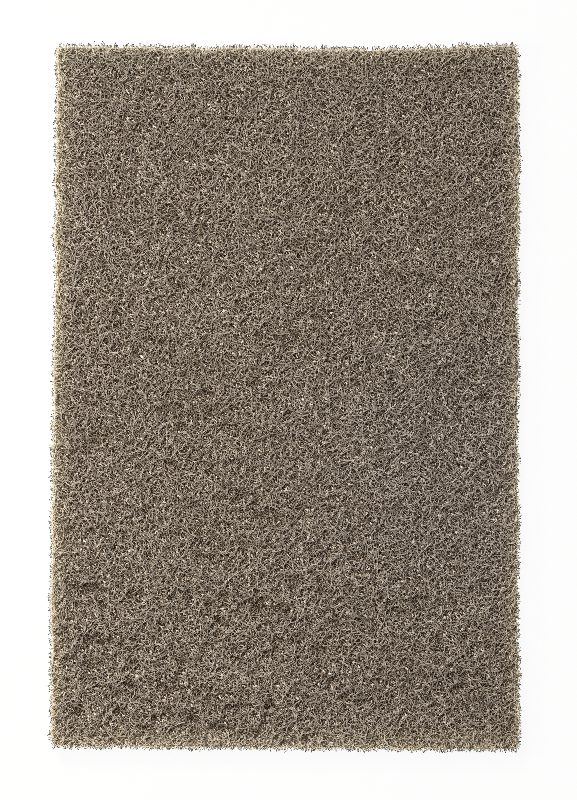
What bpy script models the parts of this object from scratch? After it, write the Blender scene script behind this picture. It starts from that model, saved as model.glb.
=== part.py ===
"""Abrasive hand pad: one rectangle cut from a springy web of bonded fibres.

Metres, +Z up. The pad lies flat. The origin is the middle of its footprint, on the surface that
it lies on. X runs across the pad and Y along it, and the near end is the one at -Y.
"""

import bmesh
import bpy
from mathutils import Vector, noise

# Overall size of the pad
PAD_WIDTH = 0.152
PAD_LENGTH = 0.229
PAD_THICKNESS = 0.008

# How the cut outline departs from a true rectangle
LEFT_EDGE_LEAN = 0.0022  # the left edge runs out by this much from the far end to the near end
FAR_EDGE_SAG = 0.0011  # the far edge dips in by this much at its middle
NEAR_EDGE_SKEW = 0.0012  # the near edge's left end stops short by this much
CORNER_RADIUS = 0.0028

# The cut edge: springy, so its rims are rolled and the wall between them is ragged
RIM_ROLL = 0.0013
RIM_SEGMENTS = 2
WALL_ROWS = 2
RAGGED_DEPTH = 0.0011
RAGGED_SPACING = 0.0048

# The upper face: loose rows of crimped fibre across the pad, and tufts where fibres cross
FACE_PITCH = 0.0034
ROW_DEPTH = 0.0011
ROW_SPACING = 0.0075
ROW_LENGTH = 0.024
TUFT_DEPTH = 0.0014
TUFT_SPACING = 0.0050

WEB_NAME = "abrasive_web"
WEB_COLOUR = (0.209, 0.173, 0.137, 1.0)
WEB_ROUGHNESS = 0.85


def clear_scene():
    for thing in list(bpy.data.objects):
        bpy.data.objects.remove(thing)


def web_material():
    """Tan fibre with its resin and mineral: matt, and not metallic."""
    material = bpy.data.materials.new("bonded_fibre_web")
    material.use_nodes = True
    shader = material.node_tree.nodes["Principled BSDF"]
    shader.inputs["Base Color"].default_value = WEB_COLOUR
    shader.inputs["Roughness"].default_value = WEB_ROUGHNESS
    shader.inputs["Metallic"].default_value = 0.0
    return material


def rounded(x, y):
    """Pulls a point that lies past the round of the nearest corner back onto it."""
    centre = Vector((PAD_WIDTH / 2 - CORNER_RADIUS, PAD_LENGTH / 2 - CORNER_RADIUS))
    past = Vector((max(abs(x) - centre.x, 0.0), max(abs(y) - centre.y, 0.0)))
    if past.length <= CORNER_RADIUS:
        return x, y
    back = past - past * (CORNER_RADIUS / past.length)
    return x - back.x * (1 if x > 0 else -1), y - back.y * (1 if y > 0 else -1)


def as_cut(x, y):
    """Moves a point of the true rectangle to its place in the pad as it was cut."""
    across = x / PAD_WIDTH + 0.5
    along = y / PAD_LENGTH + 0.5
    x += LEFT_EDGE_LEAN * along * (1 - across)
    y += NEAR_EDGE_SKEW * (1 - across) * (1 - along)
    y -= FAR_EDGE_SAG * 4 * across * (1 - across) * along
    return x, y


def ragged(place):
    """How far the knife and the springing fibres have moved a point of the cut wall."""
    pushed = noise.noise_vector(place / RAGGED_SPACING) * RAGGED_DEPTH
    return Vector((pushed.x, pushed.y, 0.0))


def face_rise(x, y):
    """How far rows and tufts of fibre raise or lower the upper face at a point."""
    row = noise.noise(Vector((x / ROW_LENGTH, y / ROW_SPACING, 0.0)))
    tuft = noise.noise(Vector((x / TUFT_SPACING, y / TUFT_SPACING, 1.0)))
    return ROW_DEPTH / 2 * row + TUFT_DEPTH / 2 * tuft


def rim_of(mesh):
    return [edge for edge in mesh.edges if edge.is_boundary]


def upper_face(mesh):
    """The grid of the upper face, already in the outline of the cut pad."""
    bmesh.ops.create_grid(
        mesh,
        x_segments=round(PAD_WIDTH / FACE_PITCH),
        y_segments=round(PAD_LENGTH / FACE_PITCH),
        size=0.5,
    )
    for point in mesh.verts:
        x, y = rounded(point.co.x * PAD_WIDTH, point.co.y * PAD_LENGTH)
        point.co = (*as_cut(x, y), PAD_THICKNESS)


def cut_wall(mesh, rolled):
    """Draws the rim of the upper face down in rows and closes it with the lower face.

    Returns the points of the wall, both its rims among them.
    """
    mark = mesh.edges.layers.float.new(rolled)
    rim = rim_of(mesh)
    wall = {point for edge in rim for point in edge.verts}
    for edge in rim:
        edge[mark] = 1.0
    for row in range(WALL_ROWS):
        made = bmesh.ops.extrude_edge_only(mesh, edges=rim)["geom"]
        lower = [point for point in made if isinstance(point, bmesh.types.BMVert)]
        for point in lower:
            point.co.z = PAD_THICKNESS * (1 - (row + 1) / WALL_ROWS)
        wall.update(lower)
        rim = rim_of(mesh)
    bmesh.ops.edgeloop_fill(mesh, edges=rim)
    for edge in rim:
        edge[mark] = 1.0
    return wall


def roughen(face, wall):
    """Makes the upper face uneven and the wall ragged. The lower face stays flat.

    The highest tuft stays at the pad's full thickness.
    """
    flat = {point: point.co.copy() for point in wall.union(face)}
    rise = {point: face_rise(*flat[point].xy) for point in face}
    highest = max(rise.values())
    for point in face:
        point.co.z += rise[point] - highest
    for point in wall:
        point.co += ragged(flat[point])


def centre(mesh):
    """Puts the middle of the footprint at the origin."""
    for axis in (0, 1):
        places = [point.co[axis] for point in mesh.verts]
        middle = (min(places) + max(places)) / 2
        for point in mesh.verts:
            point.co[axis] -= middle


def build_web(collection):
    mesh = bmesh.new()
    upper_face(mesh)
    face = list(mesh.verts)
    wall = cut_wall(mesh, "bevel_weight_edge")
    roughen(face, wall)
    centre(mesh)
    bmesh.ops.recalc_face_normals(mesh, faces=mesh.faces)
    data = bpy.data.meshes.new(WEB_NAME)
    mesh.to_mesh(data)
    mesh.free()
    data.shade_smooth()
    data.materials.append(web_material())
    web = bpy.data.objects.new(WEB_NAME, data)
    collection.objects.link(web)
    roll = web.modifiers.new("rolled_rims", "BEVEL")
    roll.limit_method = "WEIGHT"
    roll.width = RIM_ROLL
    roll.segments = RIM_SEGMENTS
    return web


def main():
    clear_scene()
    pad = bpy.data.collections.new("abrasive_hand_pad")
    bpy.context.scene.collection.children.link(pad)
    build_web(pad)


main()
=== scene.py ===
"""Looks of an abrasive hand pad: a springy web of crimped fibres, dressed over its CAD solid.

The web is a core, painted dark with the shade inside the web, wrapped in real fibres: crimped
strands that rise to the faces and dive again, strands cut off at the pad's edge, and beads of
resin and mineral. Metres, +Z up.
"""

import math

import bmesh
import bpy
import numpy as np
from bpy.props import FloatProperty, FloatVectorProperty, IntProperty, PointerProperty
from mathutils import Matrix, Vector, noise
from mathutils.bvhtree import BVHTree


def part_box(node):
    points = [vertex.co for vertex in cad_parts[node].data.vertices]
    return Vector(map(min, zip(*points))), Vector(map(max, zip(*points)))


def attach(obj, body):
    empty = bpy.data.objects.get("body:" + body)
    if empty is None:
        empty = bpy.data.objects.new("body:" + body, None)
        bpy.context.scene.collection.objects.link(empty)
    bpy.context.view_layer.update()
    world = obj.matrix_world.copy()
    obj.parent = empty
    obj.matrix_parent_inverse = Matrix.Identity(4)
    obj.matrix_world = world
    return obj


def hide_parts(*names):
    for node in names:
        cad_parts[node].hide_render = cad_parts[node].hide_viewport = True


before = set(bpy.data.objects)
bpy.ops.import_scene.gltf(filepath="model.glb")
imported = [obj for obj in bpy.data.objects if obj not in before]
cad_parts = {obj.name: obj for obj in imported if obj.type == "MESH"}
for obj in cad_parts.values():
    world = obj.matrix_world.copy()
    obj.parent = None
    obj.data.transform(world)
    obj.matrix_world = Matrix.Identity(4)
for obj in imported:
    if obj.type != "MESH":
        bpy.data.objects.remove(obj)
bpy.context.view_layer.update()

bl_info = {
    "name": "Abrasive hand pad",
    "version": (1, 0, 0),
    "blender": (4, 5, 0),
    "location": "3D View > Sidebar > Hand Pad",
    "description": "Dresses the hand pad's web in fibre and sets up its studio",
    "category": "Object",
}

MM = 0.001
WEB_NODE = "abrasive_web"
BODY = "root"
MAP_NAME = "OFBake"

# Sockets of a Mix node that mixes colours
MIX_A, MIX_B, MIX_RESULT = 6, 7, 2


def linear(hex_colour):
    """An sRGB hex colour as linear red, green, blue and alpha."""
    parts = [int(hex_colour[i : i + 2], 16) / 255 for i in (1, 3, 5)]
    return (*[p / 12.92 if p <= 0.04045 else ((p + 0.055) / 1.055) ** 2.4 for p in parts], 1.0)


def length_property(name, description, default_mm):
    return FloatProperty(
        name=name,
        description=description,
        default=default_mm * MM,
        unit="LENGTH",
        subtype="DISTANCE",
        precision=5,
    )


def colour_property(name, description, hex_colour):
    return FloatVectorProperty(
        name=name,
        description=description,
        default=linear(hex_colour),
        size=4,
        subtype="COLOR",
        min=0,
        max=1,
    )


class PadWebSettings(bpy.types.PropertyGroup):
    """Sizes of the fibres and of the way that they lie"""

    # A real coated fibre is about 0.1 mm across. It is drawn at a little over twice that, and half
    # as many are drawn, so that the loose layer stays light enough to share.
    thickness: length_property("Fibre thickness", "Across one coated fibre", 0.24)
    step: length_property("Step", "Length of one straight piece of a fibre", 0.9)
    strand: length_property("Strand", "Length of one fibre", 9)
    crimp: length_property("Crimp", "Length of one wave of the crimp", 3.8)
    rise: length_property("Rise", "Distance between places where a fibre comes up", 4.5)
    layer: length_property("Layer", "Depth of the loose fibre over the core", 1.1)
    reach: length_property("Reach", "How far cut ends stand out of the edge, at most", 1.35)
    fringe: length_property("Fringe", "How far inside the cut edge the pale band fades", 1.6)
    bead: length_property("Bead", "Across one bead of resin and mineral", 0.5)
    upper_count: IntProperty(name="Upper strands", description="In each upper layer", default=2750)
    lower_count: IntProperty(name="Lower strands", description="On the lower face", default=2200)
    edge_count: IntProperty(name="Edge strands", description="In the cut edge", default=10500)
    bead_count: IntProperty(name="Beads", description="On the cut ends", default=2600)
    seed: IntProperty(name="Seed", description="Draws the same web each time", default=7)


class PadColourSettings(bpy.types.PropertyGroup):
    """Colours of the web"""

    pale: colour_property("Pale fibre", "Fibre with a thin coat", "#F4E9DC")
    brown: colour_property("Brown fibre", "Fibre with a thick coat", "#776859")
    # Paler than uncoated fibre alone: it also carries painted light that shines through the thin
    # cut edge
    straw_and_glow: colour_property("Straw fibre", "Bare fibre in the cut edge", "#F4E8CD")
    # Deep, low and gap are painted shade: fibre further down in the web is drawn darker, and what
    # shows between it near-black
    deep: colour_property("Deep fibre", "Fibre down inside the web", "#988874")
    low: colour_property("Low fibre", "Fibre of the lowest net inside the web", "#584A3B")
    strand: colour_property("Net strand", "Fibre of the upper net inside the web", "#FFF5E8")
    gap: colour_property("Gap", "What shows between the deep fibres", "#1B0F05")
    grit: colour_property("Grit", "Beads of resin full of mineral", "#3A3026")


class PadStageSettings(bpy.types.PropertyGroup):
    """Camera and lamps"""

    lens: FloatProperty(name="Lens", description="Focal length in mm", default=150, min=20)
    key: FloatProperty(name="Key", description="Power of the key lamp in watts", default=184.0)
    left: FloatProperty(name="Left", description="Power of the left lamp in watts", default=1.8)
    side: FloatProperty(name="Side", description="Power of the side lamp in watts", default=0.001)
    sky: FloatProperty(name="Sky", description="Strength of the pale world", default=0.15)


def on_grid(xs, ys, values, x, y):
    """Reads a grid of values between its points."""
    last = 1.001  # a place on the last point is read from the cell before it
    u = np.clip((x - xs[0]) / (xs[1] - xs[0]), 0, len(xs) - last)
    v = np.clip((y - ys[0]) / (ys[1] - ys[0]), 0, len(ys) - last)
    i, j = u.astype(int), v.astype(int)
    u, v = u - i, v - j
    near = values[i, j] * (1 - v) + values[i, j + 1] * v
    far = values[i + 1, j] * (1 - v) + values[i + 1, j + 1] * v
    return near * (1 - u) + far * u


class PadShape:
    """The CAD solid in numbers: the height of its upper face, and where its cut walls stand."""

    PITCH = 1.0 * MM  # distance between the places where the solid is read
    MARGIN = 3.0 * MM  # how far past the solid those places reach
    RIM = 2.0 * MM  # the upper face is read this far inside its rolled rims and carried out
    CORNER = 5.0 * MM  # each wall is read this far clear of the corners and carried out
    ROUND = 1.6 * MM  # radius of the corners in fibre, which fills the solid's own rounding
    OPEN = 0.4  # share of the face's hollows that the loose fibre leaves open

    def __init__(self, node):
        tree = BVHTree.FromObject(node, bpy.context.evaluated_depsgraph_get())
        self.low, self.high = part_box(node.name)
        self.xs = np.arange(self.low[0] - self.MARGIN, self.high[0] + self.MARGIN, self.PITCH)
        self.ys = np.arange(self.low[1] - self.MARGIN, self.high[1] + self.MARGIN, self.PITCH)
        self.left = self.wall(tree, self.ys, 0, 1)
        self.right = self.wall(tree, self.ys, 0, -1)
        self.near = self.wall(tree, self.xs, 1, 1)
        self.far = self.wall(tree, self.xs, 1, -1)
        solid = np.array([[self.top_at(tree, x, y) for y in self.ys] for x in self.xs])
        self.fills = (1 - self.OPEN) * (self.high[2] - solid)
        self.tops = solid + self.fills

    def top_at(self, tree, x, y):
        x = min(max(x, self.low[0] + self.RIM * 2), self.high[0] - self.RIM)
        y = min(max(y, self.low[1] + self.RIM * 2), self.high[1] - self.RIM)
        hit = tree.ray_cast(Vector((x, y, self.high[2] + self.PITCH)), Vector((0, 0, -1)))[0]
        return hit.z

    def wall(self, tree, stations, axis, way):
        """Where a wall stands across an axis at each station, carried on past the corners."""
        outside = (self.low if way > 0 else self.high)[axis] - way * self.MARGIN
        clear = self.low[1 - axis] + self.CORNER, self.high[1 - axis] - self.CORNER
        inward = Vector((0, 0, 0))
        inward[axis] = way
        start = Vector((0, 0, (self.low[2] + self.high[2]) / 2))
        start[axis] = outside
        places = []
        for station in stations:
            start[1 - axis] = station
            hit = tree.ray_cast(start, inward)[0]
            places.append(hit[axis] if hit else np.nan)
        known = (stations > clear[0]) & (stations < clear[1])
        return np.interp(stations, stations[known], np.array(places)[known])

    def top(self, x, y):
        """Height of the fibre over the upper face at each place."""
        return on_grid(self.xs, self.ys, self.tops, x, y)

    def fill(self, x, y):
        """How far the loose fibre fills the hollows of the upper face at each place."""
        return on_grid(self.xs, self.ys, self.fills, x, y)

    def walls(self, x, y):
        """Distances inward from the left, right, near and far walls."""
        return np.stack(
            [
                x - np.interp(y, self.ys, self.left),
                np.interp(y, self.ys, self.right) - x,
                y - np.interp(x, self.xs, self.near),
                np.interp(x, self.xs, self.far) - y,
            ]
        )

    def inside(self, x, y):
        """How far each place lies inside the outline. It is negative outside."""
        walls = self.walls(x, y)
        across, along = walls[:2].min(axis=0), walls[2:].min(axis=0)
        past = np.hypot(*(np.clip(self.ROUND - d, 0, None) for d in (across, along)))
        return np.where(past > 0, self.ROUND - past, np.minimum(across, along))


class Field:
    """A soft random field over the pad, about -1 to 1, with a scale of its own along X and Y.

    layer tells one field from another.
    """

    SPREAD = 1.6  # stretches the noise, which seldom reaches further than 0.6 from 0

    def __init__(self, shape, scale_x, scale_y, layer):
        self.xs = np.arange(shape.xs[0], shape.xs[-1] + scale_x, scale_x / 4)
        self.ys = np.arange(shape.ys[0], shape.ys[-1] + scale_y, scale_y / 4)
        self.values = self.SPREAD * np.array(
            [
                [noise.noise(Vector((x / scale_x, y / scale_y, layer))) for y in self.ys]
                for x in self.xs
            ]
        )

    def __call__(self, x, y):
        return on_grid(self.xs, self.ys, self.values, x, y)


class Web:
    """The pad's shape and how its web varies from place to place."""

    PITTED = 0.12  # share of the face that lies in pits
    ROWS, PITS = 0.9, 2.2  # how much rows and single pits add to the depth of a place
    SHALLOW = 0.95  # only what is deeper than this is a pit
    FAR, NEAR = 0.3, 0.65  # strength of pits at the far end, and what the near left adds to it
    # A pit darkens the tone with painted shade, and the web between pits is drawn a little paler
    # to match
    DRIFT, COATED = 0.03, 0.22  # how much the drift of the coat and a pit change the tone
    # The fringe is a pale band, partly uncoated fibre and partly painted light through the thin
    # edge
    FRINGES = (1.4, 1.1, 1.7, 0.95)  # share of the fringe at the left, right, near and far walls

    def __init__(self, settings):
        self.size = settings
        self.shape = PadShape(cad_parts[WEB_NODE])
        self.rows = Field(self.shape, 30 * MM, 3.6 * MM, 1.5)
        self.pits = Field(self.shape, 2.8 * MM, 1.8 * MM, 2.5)
        self.drift = Field(self.shape, 16 * MM, 11 * MM, 3.5)

    def pit(self, x, y):
        """How much a place lies in a pit: up to 0.84 in a pit, and a little under 0 between pits.

        Pits run in rows across the pad, and are deepest at the near left.
        """
        across = (x - self.shape.low[0]) / (self.shape.high[0] - self.shape.low[0])
        along = (y - self.shape.low[1]) / (self.shape.high[1] - self.shape.low[1])
        near_left = np.clip((1.2 - 0.5 * across) * (1 - along), 0, 1)
        depth = -self.ROWS * self.rows(x, y) - self.PITS * self.pits(x, y) - self.SHALLOW
        return (np.clip(depth, 0, 1) - self.PITTED) * (self.FAR + self.NEAR * near_left)

    def tone(self, x, y):
        """How pale fibre is at a place: its coat drifts over the face, and pits darken it with
        painted shade.
        """
        return 0.5 + self.DRIFT * self.drift(x, y) - self.COATED * self.pit(x, y)

    def sink(self, x, y, deepest):
        """How far a pit sinks the web at a place."""
        return deepest * self.pit(x, y)

    def fringe(self, x, y):
        """How near each place is to a cut edge: 1 at the edge, fading to 0 inside."""
        widths = self.size.fringe * np.array(self.FRINGES)
        across = self.shape.walls(x, y) / widths.reshape(-1, *[1] * np.ndim(x))
        return np.exp(-np.clip(across.min(axis=0), 0, None))


def waves(rng, count, along, length, amplitude):
    """One sine wave along each fibre, with a length and a start of its own."""
    stretch = rng.uniform(0.75, 1.35, (count, 1))
    start = rng.uniform(0, 2 * math.pi, (count, 1))
    return amplitude * np.sin(2 * math.pi * along / (length * stretch) + start)


class Strands:
    """Crimped fibres: the plan of each is set here, and its height by the piece it belongs to."""

    BRIGHT = 0.4 * MM  # outside the cut edge, fibre is pale this far and dark at twice as far
    ASTRAY = 0.4  # radians by which a strand over a face strays from its diagonal
    SLOW_WAVE, SLOW_CURL = 2.3, 1.2  # the crimp's second wave, in shares of the first
    LINGER = 1.5  # the higher, the longer a strand runs near the face before it dives
    OWN_TONE = 0.07  # how far the tone of one fibre strays from its place's

    def __init__(self, web, rng, starts, length, reach, step=None, heading=None, curl=0.45):
        size = web.size
        step = step or size.step
        self.web, self.rng, self.count = web, rng, len(starts)
        self.along = np.arange(round(length / step) + 1) * step
        origin = 0
        if heading is None:  # a strand that lies over a face runs both ways from its start
            # The web is laid to and fro, so most of its strands lie near one diagonal or the other
            heading = (rng.integers(0, 4, (self.count, 1)) + 0.5) * math.pi / 2
            heading = heading + rng.normal(0, self.ASTRAY, (self.count, 1))
            origin = len(self.along) // 2
        heading = heading + self.wave(size.crimp, curl)
        heading = heading + self.wave(size.crimp * self.SLOW_WAVE, self.SLOW_CURL * curl)
        pace = np.stack([np.cos(heading), np.sin(heading)])[..., :-1] * step
        pace = np.concatenate([np.zeros((2, self.count, 1)), pace.cumsum(axis=2)], axis=2)
        self.x, self.y = pace - pace[..., origin, None] + starts.T[..., None]
        self.edge = web.shape.inside(self.x, self.y)
        inside = self.edge > -reach
        entered = np.logical_or.accumulate(inside, axis=1)
        left = np.logical_or.accumulate(entered & ~inside, axis=1)
        self.kept = entered & ~left
        self.tone = rng.normal(0, 1, (self.count, 1))

    def wave(self, length, amplitude):
        return waves(self.rng, self.count, self.along, length, amplitude)

    def dive(self, base, deep):
        """Depth along each fibre: it runs near the face for a while and then dives."""
        return base + deep * (0.5 + 0.5 * self.wave(self.web.size.rise, 1.0)) ** self.LINGER

    def mesh(self, name, z, radius):
        """The fibres as tubes, with what the materials read from them."""
        web = self.web
        top = web.shape.top(self.x, self.y)
        depth = np.minimum(np.minimum(top - z, z), self.edge)
        values = {
            # The depth share paints shade onto buried lengths, the tone carries painted shade in
            # pits, and the edge share paints the pale cut edge, partly with painted light
            "tone": web.tone(self.x, self.y) + self.OWN_TONE * self.tone,
            "deep": np.clip(depth / web.size.layer, 0, 1),
            "bare_and_glow": web.fringe(self.x, self.y),
            "tip": np.clip((-self.edge - self.BRIGHT) / self.BRIGHT, 0, 1),
        }
        return tubes(name, np.stack([self.x, self.y, z], axis=-1), self.kept, radius, values)


SIDES = 3  # corners of a fibre's section
BLUNT = 0.5  # share of its thickness that a fibre has at its ends


class Cells:
    """Lays fibres out on a unit square, each in a cell of its own."""

    EDGE = 0.1  # share of a cell's height left free at each side

    def __init__(self, count, rings):
        self.columns = max(1, round(math.sqrt(count * SIDES / rings)))
        self.rows = math.ceil(count / self.columns)
        self.width = rings + 2

    def place(self, fibre, ring, around):
        u = (fibre % self.columns + (ring + 1.5) / self.width) / self.columns
        v = (fibre // self.columns + self.EDGE + (1 - 2 * self.EDGE) * around) / self.rows
        return np.stack(np.broadcast_arrays(u, v), axis=-1)


def tubes(name, path, kept, radius, values):
    """A mesh of closed tubes along fibres.

    path holds the steps of each fibre, kept says which of them are there, radius is each fibre's,
    and values are numbers for each step that the materials read by name.
    """
    long_enough = kept.sum(axis=1) > 2
    path, kept, radius = path[long_enough], kept[long_enough], radius[long_enough]
    tangent = np.gradient(path, axis=1)
    tangent /= np.linalg.norm(tangent, axis=2, keepdims=True)
    side = np.cross(tangent, (0, 0, 1.0))
    side /= np.linalg.norm(side, axis=2, keepdims=True)
    up = np.cross(side, tangent)
    first = kept & ~np.pad(kept, ((0, 0), (1, 0)))[:, :-1]
    last = kept & ~np.pad(kept, ((0, 0), (0, 1)))[:, 1:]
    thin = np.where(first | last, BLUNT, 1.0)
    across = (radius[:, None] * thin)[..., None]
    turns = [2 * math.pi * j / SIDES - math.pi / 2 for j in range(SIDES)]
    rings = np.stack(
        [path + (side * math.cos(a) + up * math.sin(a)) * across for a in turns], axis=2
    )
    number = np.full(kept.shape, -1)
    number[kept] = np.arange(kept.sum())
    cells = Cells(*kept.shape)
    fibre, ring = np.nonzero(kept[:, :-1] & kept[:, 1:])
    start, after = number[fibre, ring] * SIDES, number[fibre, ring + 1] * SIDES
    quads, quad_spots = [], []
    for j in range(SIDES):
        k = (j + 1) % SIDES
        quads.append(np.stack([start + j, start + k, after + k, after + j], axis=1))
        spots = [(ring, j), (ring, j + 1), (ring + 1, j + 1), (ring + 1, j)]
        quad_spots.append(np.stack([cells.place(fibre, r, v / SIDES) for r, v in spots], axis=1))
    caps, cap_spots = [], []
    for ends, order, way in ((first, (0, 2, 1), -1), (last, (0, 1, 2), 1)):
        fibre, ring = np.nonzero(ends)
        base = number[fibre, ring] * SIDES
        caps.append(np.stack([base + j for j in order], axis=1))
        # On the map an end is a triangle in the free space before or after its fibre
        spots = [(ring, 0.1), (ring, 0.9), (ring + 0.8 * way, 0.5)]
        cap_spots.append(np.stack([cells.place(fibre, r, v) for r, v in spots], axis=1))
    spread = {
        key: np.repeat(np.broadcast_to(value[long_enough], kept.shape)[kept], SIDES)
        for key, value in values.items()
    }
    return built_mesh(
        name, rings[kept].reshape(-1, 3), [*quads, *caps], [*quad_spots, *cap_spots], spread
    )


def built_mesh(name, corners, faces, spots, values):
    """A smooth mesh from arrays of faces, each with its places on the map, and corner values."""
    mesh = bpy.data.meshes.new(name)
    mesh.vertices.add(len(corners))
    mesh.vertices.foreach_set("co", corners.astype(np.float32).ravel())
    loops = np.concatenate([f.ravel() for f in faces])
    mesh.loops.add(len(loops))
    mesh.loops.foreach_set("vertex_index", loops.astype(np.int32))
    counts = np.concatenate([np.full(len(f), f.shape[1]) for f in faces])
    mesh.polygons.add(len(counts))
    mesh.polygons.foreach_set("loop_start", (counts.cumsum() - counts).astype(np.int32))
    mesh.update(calc_edges=True)
    layer = mesh.uv_layers.new(name=MAP_NAME)
    places = np.concatenate([s.reshape(-1, 2) for s in spots])
    layer.uv.foreach_set("vector", places.astype(np.float32).ravel())
    for key, value in values.items():
        attribute = mesh.attributes.new(key, "FLOAT", "POINT")
        attribute.data.foreach_set("value", value.astype(np.float32))
    mesh.shade_smooth()
    return mesh


def add_piece(name, mesh, material):
    """Puts a mesh in the scene as a piece of the pad."""
    piece = bpy.data.objects.new(name, mesh)
    bpy.context.scene.collection.objects.link(piece)
    mesh.materials.clear()
    mesh.materials.append(material)
    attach(piece, BODY)
    return piece


def add_node(tree, kind, settings=None, inputs=None):
    """Adds a shader node. Each of its inputs holds a value, or reads the socket that is given."""
    node = tree.nodes.new(kind)
    for name, value in (settings or {}).items():
        setattr(node, name, value)
    for name, value in (inputs or {}).items():
        if isinstance(value, bpy.types.NodeSocket):
            tree.links.new(value, node.inputs[name])
        else:
            node.inputs[name].default_value = value
    return node


def new_material(name):
    material = bpy.data.materials.new(name)
    material.use_nodes = True
    tree = material.node_tree
    return material, tree, tree.nodes["Principled BSDF"]


def coated_fibre_material(colours):
    """Crimped nylon fibre, rolled in resin that carries fine mineral, and baked.

    The coat is thicker in some places than in others, so a fibre wanders from pale to brown.
    Its buried lengths, and fibre in pits, are drawn darker with painted shade. Where the pad is
    cut, the fibre shows its uncoated straw, drawn paler still with painted light that shines
    through the thin edge. Grains under the coat leave it rough, with small glints along each
    fibre.
    """
    material, tree, shader = new_material("resin_coated_nylon_fibre")
    tone, deep, bare_and_glow, tip = (
        add_node(tree, "ShaderNodeAttribute", {"attribute_name": name}).outputs["Fac"]
        for name in ("tone", "deep", "bare_and_glow", "tip")
    )
    place = add_node(tree, "ShaderNodeTexCoord").outputs["Object"]
    coat_size, coat_weight = 1.5 * MM, 0.72
    thick_coat, bare_fibre = 0.56, 1.37
    coat = add_node(
        tree,
        "ShaderNodeTexNoise",
        inputs={"Vector": place, "Scale": 1 / coat_size, "Detail": 1.0},
    ).outputs["Fac"]
    thin_coat = add_node(
        tree, "ShaderNodeMath", {"operation": "MULTIPLY_ADD"}, {0: coat, 1: coat_weight, 2: tone}
    ).outputs["Value"]
    share = add_node(
        tree,
        "ShaderNodeMapRange",
        {"interpolation_type": "SMOOTHSTEP"},
        {"Value": thin_coat, "From Min": thick_coat, "From Max": bare_fibre},
    ).outputs["Result"]
    body = add_node(
        tree,
        "ShaderNodeMix",
        {"data_type": "RGBA"},
        {"Factor": share, MIX_A: colours.brown, MIX_B: colours.pale},
    ).outputs[MIX_RESULT]
    # Painted shade: lengths of fibre that lie deep in the web, under a face or inside the edge,
    # are drawn darker, toward the deep colour
    shade = add_node(
        tree,
        "ShaderNodeMapRange",
        {"interpolation_type": "SMOOTHSTEP"},
        {"Value": deep, "From Min": 0.3, "From Max": 1.0},
    ).outputs["Result"]
    painted_depth_shade = add_node(
        tree, "ShaderNodeMath", {"operation": "SUBTRACT", "use_clamp": True}, {0: shade, 1: bare_and_glow}
    ).outputs["Value"]
    sunk = add_node(
        tree,
        "ShaderNodeMix",
        {"data_type": "RGBA"},
        {"Factor": painted_depth_shade, MIX_A: body, MIX_B: colours.deep},
    ).outputs[MIX_RESULT]
    # Near a cut edge the fibre turns straw, paler with painted light that shines through the thin
    # edge
    edged = add_node(
        tree,
        "ShaderNodeMix",
        {"data_type": "RGBA"},
        {"Factor": bare_and_glow, MIX_A: sunk, MIX_B: colours.straw_and_glow},
    ).outputs[MIX_RESULT]
    tipped = add_node(
        tree,
        "ShaderNodeMix",
        {"data_type": "RGBA"},
        {"Factor": tip, MIX_A: edged, MIX_B: colours.grit},
    ).outputs[MIX_RESULT]
    tree.links.new(tipped, shader.inputs["Base Color"])
    shader.inputs["Roughness"].default_value = 0.5
    return material


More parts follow.
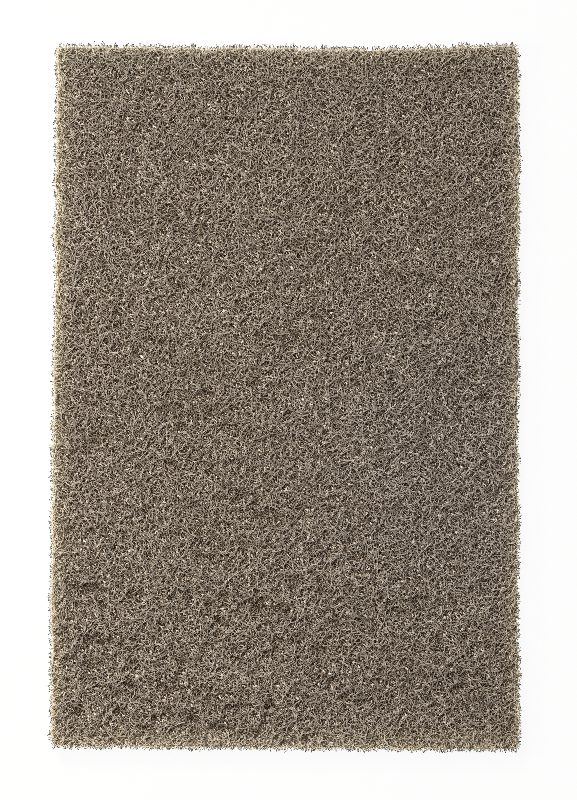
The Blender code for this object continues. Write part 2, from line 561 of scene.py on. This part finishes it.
def deep_web_material(colours):
    """The same coated fibre seen down inside the web, where it lies in its own shade.

    Strands cross in a loose net with near-black gaps between them. Three nets at unlike depths,
    each drawn out along a diagonal of the pad, give the eye the fibres that are too many to model
    one by one. The shade is painted into their colours: the lower nets are darker, the gaps
    near-black, and pits darker still, while near a cut edge painted light makes them paler.
    """
    material, tree, shader = new_material("resin_coated_web_inside")
    place = add_node(tree, "ShaderNodeTexCoord").outputs["Object"]
    bare_and_glow, pit = (
        add_node(tree, "ShaderNodeAttribute", {"attribute_name": name}).outputs["Fac"]
        for name in ("bare_and_glow", "pit")
    )
    # Near a cut edge the gaps and nets turn paler: partly uncoated straw fibre, partly painted
    # light that shines through the thin edge
    colour = add_node(
        tree,
        "ShaderNodeMix",
        {"data_type": "RGBA"},
        {"Factor": bare_and_glow, MIX_A: colours.gap, MIX_B: colours.low},
    ).outputs[MIX_RESULT]
    shares = []
    # Of each net: the size of its curls, half the width of its strands in steps of the noise, its
    # diagonal, and its colours inside the web and at the cut edge. Real strands lie closer than
    # these curls, which are drawn this coarse so that they show.
    drawn_out, crisp = 1.5, 0.4
    for curl, half, turn, inner, edge in (
        (0.60 * MM, 0.105, math.pi / 4, colours.low, colours.deep),
        (0.64 * MM, 0.060, math.pi / 4, colours.deep, colours.straw_and_glow),
        (0.68 * MM, 0.050, -math.pi / 4, colours.strand, colours.straw_and_glow),
    ):
        moved = add_node(
            tree,
            "ShaderNodeMapping",
            {"vector_type": "TEXTURE"},
            {
                "Vector": place,
                "Location": (curl / MM,) * 3,
                "Rotation": (0, 0, turn),
                "Scale": (drawn_out * curl, curl, curl),
            },
        ).outputs["Vector"]
        field = add_node(
            tree, "ShaderNodeTexNoise", inputs={"Vector": moved, "Scale": 1.0, "Detail": 0.0}
        ).outputs["Fac"]
        level = add_node(tree, "ShaderNodeMath", {"operation": "SUBTRACT"}, {0: field, 1: 0.5})
        off = add_node(tree, "ShaderNodeMath", {"operation": "ABSOLUTE"}, {0: level.outputs[0]})
        share = add_node(
            tree,
            "ShaderNodeMapRange",
            {"interpolation_type": "SMOOTHSTEP"},
            {"Value": off.outputs[0], "From Min": half, "From Max": half * crisp},
        ).outputs["Result"]
        strand = add_node(
            tree,
            "ShaderNodeMix",
            {"data_type": "RGBA"},
            {"Factor": bare_and_glow, MIX_A: inner, MIX_B: edge},
        ).outputs[MIX_RESULT]
        colour = add_node(
            tree,
            "ShaderNodeMix",
            {"data_type": "RGBA"},
            {"Factor": share, MIX_A: colour, MIX_B: strand},
        ).outputs[MIX_RESULT]
        shares.append(share)
    # Painted shade in pits: the colour goes toward the near-black gap colour
    pit_shade = 0.7
    shade = add_node(tree, "ShaderNodeMath", {"operation": "MULTIPLY"}, {0: pit, 1: pit_shade})
    colour = add_node(
        tree,
        "ShaderNodeMix",
        {"data_type": "RGBA"},
        {"Factor": shade.outputs["Value"], MIX_A: colour, MIX_B: colours.gap},
    ).outputs[MIX_RESULT]
    relief = add_node(
        tree, "ShaderNodeMath", {"operation": "MAXIMUM"}, {0: shares[2], 1: shares[1]}
    ).outputs["Value"]
    bump = add_node(
        tree, "ShaderNodeBump", inputs={"Height": relief, "Distance": 0.3 * MM, "Strength": 0.8}
    ).outputs["Normal"]
    tree.links.new(colour, shader.inputs["Base Color"])
    tree.links.new(bump, shader.inputs["Normal"])
    shader.inputs["Roughness"].default_value = 0.8
    shader.inputs["Specular IOR Level"].default_value = 0.04
    return material


def grit_material(colours):
    """Beads of baked resin packed with fused mineral: dark, with paler dust and hard glints."""
    material, tree, shader = new_material("mineral_in_resin")
    place = add_node(tree, "ShaderNodeTexCoord").outputs["Object"]
    dust_size = 0.9 * MM  # real dust is finer, and is drawn this coarse to show on the beads
    dust = add_node(
        tree,
        "ShaderNodeTexNoise",
        inputs={"Vector": place, "Scale": 1 / dust_size, "Detail": 2.0},
    ).outputs["Fac"]
    share = add_node(
        tree, "ShaderNodeMapRange", inputs={"Value": dust, "From Min": 0.5, "From Max": 0.7}
    ).outputs["Result"]
    colour = add_node(
        tree,
        "ShaderNodeMix",
        {"data_type": "RGBA"},
        {"Factor": share, MIX_A: colours.grit, MIX_B: colours.brown},
    ).outputs[MIX_RESULT]
    tree.links.new(colour, shader.inputs["Base Color"])
    shader.inputs["Roughness"].default_value = 0.35
    return material


def shared_material(maker):
    """The material that a maker function makes, made only once."""
    key = maker.__name__
    if key not in made_materials:
        made_materials[key] = maker(bpy.context.scene.pad_colours)
    return made_materials[key]


made_materials = {}
made_webs = []


def the_web():
    """The web's shape and fields, which every operator shares."""
    if not made_webs:
        made_webs.append(Web(bpy.context.scene.pad_web))
    return made_webs[0]


def scattered(web, rng, count, past):
    """Places spread evenly over the pad and some way past its edges, each moved at random."""
    low, high = np.array(web.shape.low[:2]) - past, np.array(web.shape.high[:2]) + past
    spacing = math.sqrt((high - low).prod() / count)
    grid = np.meshgrid(*(np.arange(low[i], high[i], spacing) for i in (0, 1)))
    places = np.stack(grid, axis=-1).reshape(-1, 2)
    return places + rng.uniform(0.2, 0.8, places.shape) * spacing


class PAD_OT_core(bpy.types.Operator):
    """Make the core of the web from the CAD solid, painted dark with the shade inside the web"""

    bl_idname = "pad.core"
    bl_label = "Web core"

    VOXEL = 1.4 * MM
    FACE_INSET = 1.0 * MM  # how far inside the solid's faces the core's lie
    WALL_INSET = 0.05 * MM
    LUMP, LUMP_SIZE = 0.1 * MM, 2.4 * MM  # height and length of the lumps all over it
    SINK = 0.2 * MM  # how far pits sink the core: less than the strands, which go out of sight
    DRAWN = 3.0 * MM  # walls that stand less than this far inside the outline are drawn out to it

    def execute(self, context):
        web = the_web()
        core = add_piece(
            "web_core",
            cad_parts[WEB_NODE].data.copy(),
            shared_material(deep_web_material),
        )
        remesh = core.modifiers.new("even_faces", "REMESH")
        remesh.mode = "VOXEL"
        remesh.voxel_size = self.VOXEL
        depsgraph = context.evaluated_depsgraph_get()
        mesh = bpy.data.meshes.new_from_object(core.evaluated_get(depsgraph))
        core.modifiers.clear()
        core.data = mesh
        places = np.empty(len(mesh.vertices) * 3, np.float32)
        normals = np.empty(len(mesh.vertices) * 3, np.float32)
        mesh.vertices.foreach_get("co", places)
        mesh.vertices.foreach_get("normal", normals)
        places, normals = places.reshape(-1, 3), normals.reshape(-1, 3)
        lumps = np.array([noise.noise(Vector(p) / self.LUMP_SIZE) for p in places])
        inset = np.array([self.WALL_INSET, self.WALL_INSET, self.FACE_INSET])
        upward = np.clip(normals[:, 2], 0, 1)
        sunk = web.sink(places[:, 0], places[:, 1], self.SINK) * upward
        edge = web.shape.inside(places[:, 0], places[:, 1])
        level = normals * (1, 1, 0)  # its length is 1 on a wall and 0 on a face
        drawn = np.where(edge < self.DRAWN, edge, 0)[:, None] * level
        places = places + drawn - normals * inset + normals * (lumps * self.LUMP)[:, None]
        places[:, 2] += web.shape.fill(places[:, 0], places[:, 1]) * upward - sunk
        mesh.vertices.foreach_set("co", places.astype(np.float32).ravel())
        # These attributes paint the pale band at the cut edge, partly uncoated fibre and partly
        # painted light through the thin edge, and the painted shade of the pits
        for name, field in (("bare_and_glow", web.fringe), ("pit", web.pit)):
            value = mesh.attributes.new(name, "FLOAT", "POINT")
            value.data.foreach_set("value", field(*places.T[:2]).astype(np.float32))
        mesh.update()
        mesh.shade_smooth()
        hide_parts(WEB_NODE)
        return {"FINISHED"}


class PAD_OT_face_fibres(bpy.types.Operator):
    """Lay crimped strands over the upper face in layers, and over the lower face"""

    bl_idname = "pad.face_fibres"
    bl_label = "Face fibres"

    # Shares of the loose layer where each upper layer starts and how far it dives
    UPPER = ((0.0, 0.45), (0.05, 0.5), (0.2, 0.5))
    LOWER = (0.5, 0.6)  # the same, but a lower strand starts anywhere up to the first share
    SINK = 1.1 * MM  # how far pits sink the strands
    PAST = 5 * MM  # strands also start this far outside, so that they are as many at the edges
    GIRTH = (0.8, 1.15)  # the thinnest and the thickest strand, in shares of the set thickness

    def execute(self, context):
        web = the_web()
        size = web.size
        for index, (base, deep) in enumerate(self.UPPER):
            rng = np.random.default_rng(size.seed + index)
            strands, radius = self.strands(web, rng, size.upper_count)
            depth = strands.dive(base * size.layer, deep * size.layer)
            depth = depth + web.sink(strands.x, strands.y, self.SINK) + radius[:, None]
            z = web.shape.top(strands.x, strands.y) - depth
            name = f"upper_fibres_{index + 1}"
            add_piece(name, strands.mesh(name, z, radius), shared_material(coated_fibre_material))
        rng = np.random.default_rng(size.seed + len(self.UPPER))
        strands, radius = self.strands(web, rng, size.lower_count)
        base = rng.uniform(0, self.LOWER[0], (strands.count, 1)) * size.layer
        z = web.shape.low[2] + radius[:, None] + strands.dive(base, self.LOWER[1] * size.layer)
        name = "lower_fibres"
        add_piece(name, strands.mesh(name, z, radius), shared_material(coated_fibre_material))
        return {"FINISHED"}

    def strands(self, web, rng, count):
        """Strands that lie over a face, and the radius of each."""
        starts = scattered(web, rng, count, self.PAST)
        reach = web.size.reach / 2 * rng.uniform(0, 1, (len(starts), 1))
        strands = Strands(web, rng, starts, web.size.strand, reach)
        return strands, rng.uniform(*self.GIRTH, strands.count) * web.size.thickness / 2


OUTWARD = (math.pi, 0, -math.pi / 2, math.pi / 2)  # headings out of each wall
REACHES = (1.05, 0.9, 1.2, 1.5)  # share of the reach at each wall: the ends are the most frayed
EDGE_BAND = 1.5 * MM  # strands of the cut edge start within this far of the outline
EDGE_LENGTH, EDGE_STEP = 2.4 * MM, 0.48 * MM
EDGE_ASTRAY = 0.6  # radians by which a cut strand strays from straight out
EDGE_CURL = 0.4
EDGE_GIRTH = (0.7, 1.05)  # the thinnest and the thickest, in shares of the set thickness
EDGE_LEVEL = (0.05, 0.95)  # the lowest and the highest, in shares of the pad's thickness
EDGE_WAVE = (5 * MM, 0.5 * MM)  # length and height of its slow wave up and down
EDGE_SHORT = 1.8  # the higher, the fewer ends stand far out
EDGE_SEED, BEAD_SEED = 11, 12  # added to the seed, so that each piece draws numbers of its own


def cut_strands(web):
    """The strands of the cut edge, with their heights and radii. They are the same each time."""
    size = web.size
    rng = np.random.default_rng(size.seed + EDGE_SEED)
    low, high = web.shape.low, web.shape.high
    band = EDGE_BAND * 2 * (high[0] - low[0] + high[1] - low[1])
    share = band / ((high[0] - low[0]) * (high[1] - low[1]))
    places = scattered(web, rng, size.edge_count / share, 0.0)
    inside = web.shape.inside(*places.T)
    starts = places[(inside > 0) & (inside < EDGE_BAND)]
    count = (len(starts), 1)
    wall = web.shape.walls(*starts.T).argmin(axis=0)
    reach = size.reach * np.array(REACHES)[wall][:, None] * rng.uniform(0, 1, count) ** EDGE_SHORT
    heading = np.array(OUTWARD)[wall][:, None] + rng.normal(0, EDGE_ASTRAY, count)
    strands = Strands(web, rng, starts, EDGE_LENGTH, reach, EDGE_STEP, heading, EDGE_CURL)
    radius = rng.uniform(*EDGE_GIRTH, strands.count) * size.thickness / 2
    z = rng.uniform(*EDGE_LEVEL, count) * (high[2] - low[2]) + strands.wave(*EDGE_WAVE)
    top = web.shape.top(strands.x, strands.y) - radius[:, None]
    return strands, np.clip(z, radius[:, None], top), radius


class PAD_OT_edge_fibres(bpy.types.Operator):
    """Pack the cut edge with strands, whose ends stand out of it"""

    bl_idname = "pad.edge_fibres"
    bl_label = "Edge fibres"

    def execute(self, context):
        strands, z, radius = cut_strands(the_web())
        mesh = strands.mesh("edge_fibres", z, radius)
        add_piece("edge_fibres", mesh, shared_material(coated_fibre_material))
        return {"FINISHED"}


class PAD_OT_beads(bpy.types.Operator):
    """Set beads of resin and mineral on the ends that stand furthest out of the cut edge"""

    bl_idname = "pad.beads"
    bl_label = "Beads"

    OUT = 0.3 * MM  # beads sit on ends that stand out at least this far
    GIRTH = (0.6, 1.0)  # the smallest and the largest bead, in shares of the set size
    LUMPS = (0.75, 1.15)  # the deepest and the highest corner of a bead, in shares of its radius

    def execute(self, context):
        web = the_web()
        strands, z, _ = cut_strands(web)
        last = strands.kept & ~np.pad(strands.kept, ((0, 0), (0, 1)))[:, 1:]
        ends = np.stack([strands.x, strands.y, z], axis=-1)[last & (strands.edge < -self.OUT)]
        rng = np.random.default_rng(web.size.seed + BEAD_SEED)
        ends = rng.permutation(ends)[: web.size.bead_count]
        radius = rng.uniform(*self.GIRTH, len(ends)) * web.size.bead / 2
        mesh = self.beads(ends, radius, rng)
        add_piece("grit_beads", mesh, shared_material(grit_material))
        return {"FINISHED"}

    def beads(self, ends, radius, rng):
        """A mesh of lumpy beads, with a cell of the map for each."""
        ball = bmesh.new()
        bmesh.ops.create_icosphere(ball, subdivisions=1, radius=1.0)
        shape = np.array([corner.co for corner in ball.verts])
        faces = np.array([[corner.index for corner in face.verts] for face in ball.faces])
        ball.free()
        lumpy = shape * rng.uniform(*self.LUMPS, (len(ends), len(shape), 1))
        corners = ends[:, None] + lumpy * radius[:, None, None]
        corners[..., 2] = np.maximum(corners[..., 2], 0)
        count = np.arange(len(ends))
        every = (faces + count[:, None, None] * len(shape)).reshape(-1, 3)
        columns = math.ceil(math.sqrt(len(every)))
        cell = np.arange(len(every))
        corner_spots = np.array([(0.15, 0.15), (0.85, 0.15), (0.5, 0.85)])
        origin = np.stack([cell % columns, cell // columns], axis=-1)[:, None]
        spots = (origin + corner_spots) / columns
        return built_mesh("grit_beads", corners.reshape(-1, 3), [every], [spots], {})


class PAD_OT_stage(bpy.types.Operator):
    """Set up the camera, the lamps, the pale world and the floor"""

    bl_idname = "pad.stage"
    bl_label = "Stage"

    PHOTO_HEIGHT_PX = 800
    PX_PER_MM = 3.062
    SENSOR = 36 * MM
    PIXEL_FILTER = 0.7  # width in pixels
    LOOK_AT = Vector((1.30 * MM, -0.64 * MM, 4 * MM))  # at mid-height, where the cut edge shows
    # Places and sizes of the lamps and the floor in metres
    KEY_PLACE, KEY_SIZE = Vector((-1.3, 3.4, 3.4)), 1.6
    LEFT_PLACE, LEFT_SIZE = Vector((-0.40, 0.0, 0.36)), 0.2
    # The side lamp is a narrow one, which cools the right half a little
    SIDE_PLACE, SIDE_SIZE = Vector((0.12, -0.04, 0.42)), 0.06
    SIDE_AIM, SIDE_SPREAD = Vector((0.055, -0.018, 0)), math.radians(16)
    FLOOR_SIZE = 3.0
    FLOOR_DROP = 0.05 * MM  # the floor lies this far under the pad, so that they don't clip
    FLOOR_GLOW = 0.93  # how white the floor is of itself. The rest of it shows the pad's shadow

    def execute(self, context):
        stage = context.scene.pad_stage
        self.camera(context, stage)
        centre = Vector()
        self.lamp("key_lamp", self.KEY_PLACE, centre, self.KEY_SIZE, stage.key, "#FFFCF5")
        self.lamp("left_lamp", self.LEFT_PLACE, centre, self.LEFT_SIZE, stage.left, "#FFFAF0")
        side = self.lamp(
            "side_lamp", self.SIDE_PLACE, self.SIDE_AIM, self.SIDE_SIZE, stage.side, "#6FA8FF"
        )
        side.spread = self.SIDE_SPREAD
        self.world(context, stage)
        self.floor()
        context.scene.view_settings.view_transform = "Standard"
        self.keep_fibres_crisp(context)
        return {"FINISHED"}

    def keep_fibres_crisp(self, context):
        """A fibre is under one pixel wide in the photograph's frame, so nothing may blur it."""
        context.scene.cycles.filter_width = self.PIXEL_FILTER
        context.scene.cycles.use_denoising = False

    def camera(self, context, stage):
        data = bpy.data.cameras.new("camera")
        data.lens = stage.lens
        camera = bpy.data.objects.new("camera", data)
        context.scene.collection.objects.link(camera)
        seen_height = self.PHOTO_HEIGHT_PX / self.PX_PER_MM * MM
        distance = seen_height * stage.lens * MM / self.SENSOR
        camera.location = self.LOOK_AT + Vector((0, 0, distance))
        data.clip_start = 0.01
        context.scene.camera = camera

    def lamp(self, name, place, aim, size, power, colour):
        data = bpy.data.lights.new(name, "AREA")
        data.shape = "DISK"
        data.size = size
        data.energy = power
        data.color = linear(colour)[:3]
        lamp = bpy.data.objects.new(name, data)
        lamp.location = place
        lamp.rotation_euler = (aim - place).to_track_quat("-Z", "Y").to_euler()
        bpy.context.scene.collection.objects.link(lamp)
        return data

    def world(self, context, stage):
        world = bpy.data.worlds.new("pale_world")
        world.use_nodes = True
        tree = world.node_tree
        back = tree.nodes["Background"]
        path = add_node(tree, "ShaderNodeLightPath")
        seen = self.seen(tree, path)
        colour = add_node(
            tree,
            "ShaderNodeMix",
            {"data_type": "RGBA"},
            {"Factor": seen, MIX_A: linear("#FFFAF3"), MIX_B: linear("#FFFFFF")},
        )
        tree.links.new(colour.outputs[MIX_RESULT], back.inputs["Color"])
        strength = add_node(
            tree, "ShaderNodeMix", {"data_type": "FLOAT"}, {0: seen, 2: stage.sky, 3: 1.0}
        )
        tree.links.new(strength.outputs[0], back.inputs["Strength"])
        context.scene.world = world

    def seen(self, tree, path):
        """1 for rays that show the background itself: from the camera, mirrors and glass."""
        mirrored = add_node(
            tree,
            "ShaderNodeMath",
            {"operation": "MAXIMUM"},
            {0: path.outputs["Is Camera Ray"], 1: path.outputs["Is Glossy Ray"]},
        )
        return add_node(
            tree,
            "ShaderNodeMath",
            {"operation": "MAXIMUM"},
            {0: mirrored.outputs["Value"], 1: path.outputs["Is Transmission Ray"]},
        ).outputs["Value"]

    def floor(self):
        mesh = bpy.data.meshes.new("floor")
        grid = bmesh.new()
        bmesh.ops.create_grid(grid, x_segments=1, y_segments=1, size=self.FLOOR_SIZE)
        grid.to_mesh(mesh)
        grid.free()
        floor = bpy.data.objects.new("floor", mesh)
        bpy.context.scene.collection.objects.link(floor)
        floor.location.z = -self.FLOOR_DROP
        material, tree, shader = new_material("matt_white_paper")
        shader.inputs["Base Color"].default_value = linear("#F2F2F2")
        shader.inputs["Roughness"].default_value = 0.9
        glow = add_node(
            tree, "ShaderNodeEmission", inputs={"Color": linear("#FFFFFF"), "Strength": 1.0}
        )
        path = add_node(tree, "ShaderNodeLightPath")
        share = add_node(
            tree,
            "ShaderNodeMath",
            {"operation": "MULTIPLY"},
            {0: self.seen(tree, path), 1: self.FLOOR_GLOW},
        )
        lit = add_node(
            tree,
            "ShaderNodeMixShader",
            inputs={0: share.outputs["Value"], 1: shader.outputs["BSDF"], 2: glow.outputs[0]},
        )
        tree.links.new(lit.outputs[0], tree.nodes["Material Output"].inputs["Surface"])
        mesh.materials.append(material)


class PAD_PT_panel(bpy.types.Panel):
    """Lists the pad's settings and makers"""

    bl_idname = "PAD_PT_panel"
    bl_label = "Abrasive hand pad"
    bl_space_type = "VIEW_3D"
    bl_region_type = "UI"
    bl_category = "Hand Pad"

    def draw(self, context):
        scene = context.scene
        for settings in (scene.pad_web, scene.pad_colours, scene.pad_stage):
            box = self.layout.box()
            for name in settings.bl_rna.properties.keys():
                if name not in ("rna_type", "name"):
                    box.prop(settings, name)
        for operator in OPERATORS:
            self.layout.operator(operator.bl_idname)


SETTINGS = {
    "pad_web": PadWebSettings,
    "pad_colours": PadColourSettings,
    "pad_stage": PadStageSettings,
}
OPERATORS = (PAD_OT_core, PAD_OT_face_fibres, PAD_OT_edge_fibres, PAD_OT_beads, PAD_OT_stage)
CLASSES = (*SETTINGS.values(), *OPERATORS, PAD_PT_panel)


def register():
    for kind in CLASSES:
        bpy.utils.register_class(kind)
    for name, group in SETTINGS.items():
        setattr(bpy.types.Scene, name, PointerProperty(type=group))


def unregister():
    for name in SETTINGS:
        delattr(bpy.types.Scene, name)
    for kind in reversed(CLASSES):
        bpy.utils.unregister_class(kind)


def main():
    register()
    bpy.ops.pad.core()
    bpy.ops.pad.face_fibres()
    bpy.ops.pad.edge_fibres()
    bpy.ops.pad.beads()
    bpy.ops.pad.stage()


if __name__ == "__main__":
    main()
